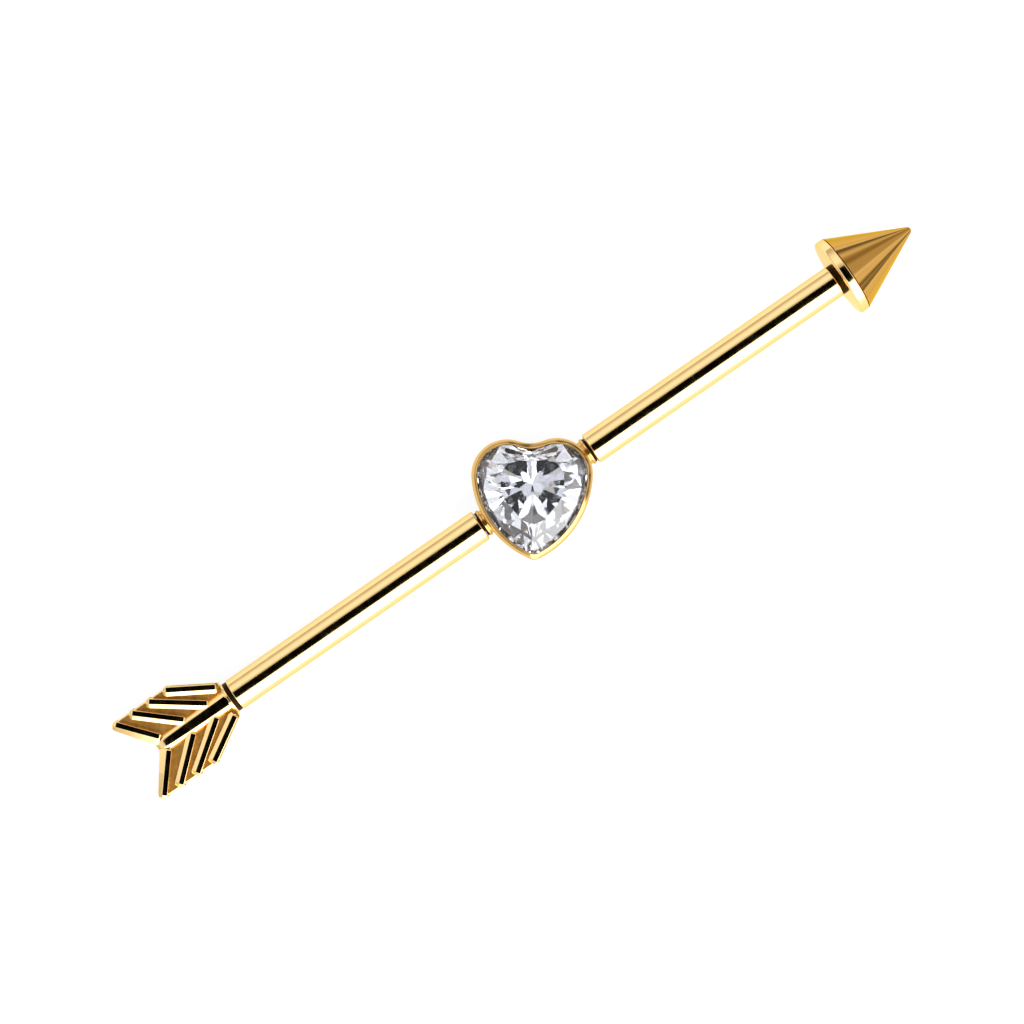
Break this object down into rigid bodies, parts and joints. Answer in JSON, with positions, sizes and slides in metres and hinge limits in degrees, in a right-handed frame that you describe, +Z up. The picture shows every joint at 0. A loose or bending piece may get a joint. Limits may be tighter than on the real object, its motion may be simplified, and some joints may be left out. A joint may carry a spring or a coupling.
{
  "type": "industrial barbell",
  "caption": "Straight ear bar shaped as an arrow, with a spike head, a ribbed feather tail and a bezel-set heart stone at its middle.",
  "frame": {"origin": "middle of the bounding box in X and Y, on the surface that the barbell lies on", "axes": "+X along the bar towards the arrowhead, +Z up out of the stone's table; the bar rises 1.9 degrees towards the arrowhead, as it lies"},
  "size_m": [0.0448, 0.0058, 0.004],
  "materials": {
    "gold_shaft": "mirror polished steel with gold PVD",
    "gold_setting": "polished cast steel with gold PVD",
    "clear_stone": "clear cut cubic zirconia",
    "gold_arrowhead": "turned and polished steel with gold PVD",
    "gold_fletching": "cast steel with gold PVD, polished ridges and matte valleys"
  },
  "bodies": {
    "bar": {"front_shaft": "gold_shaft", "rear_shaft": "gold_shaft", "heart_setting": "gold_setting", "heart_stone": "clear_stone"},
    "arrowhead": {"arrowhead": "gold_arrowhead"},
    "fletching": {"fletching": "gold_fletching"}
  },
  "joints": [
    {"name": "arrowhead_unscrews", "type": "slide", "parent": "bar", "child": "arrowhead", "axis": [0.9994, 0, 0.0333], "range_m": [0, 0.004]},
    {"name": "fletching_unscrews", "type": "slide", "parent": "bar", "child": "fletching", "axis": [-0.9994, 0, -0.0333], "range_m": [0, 0.004]}
  ]
}
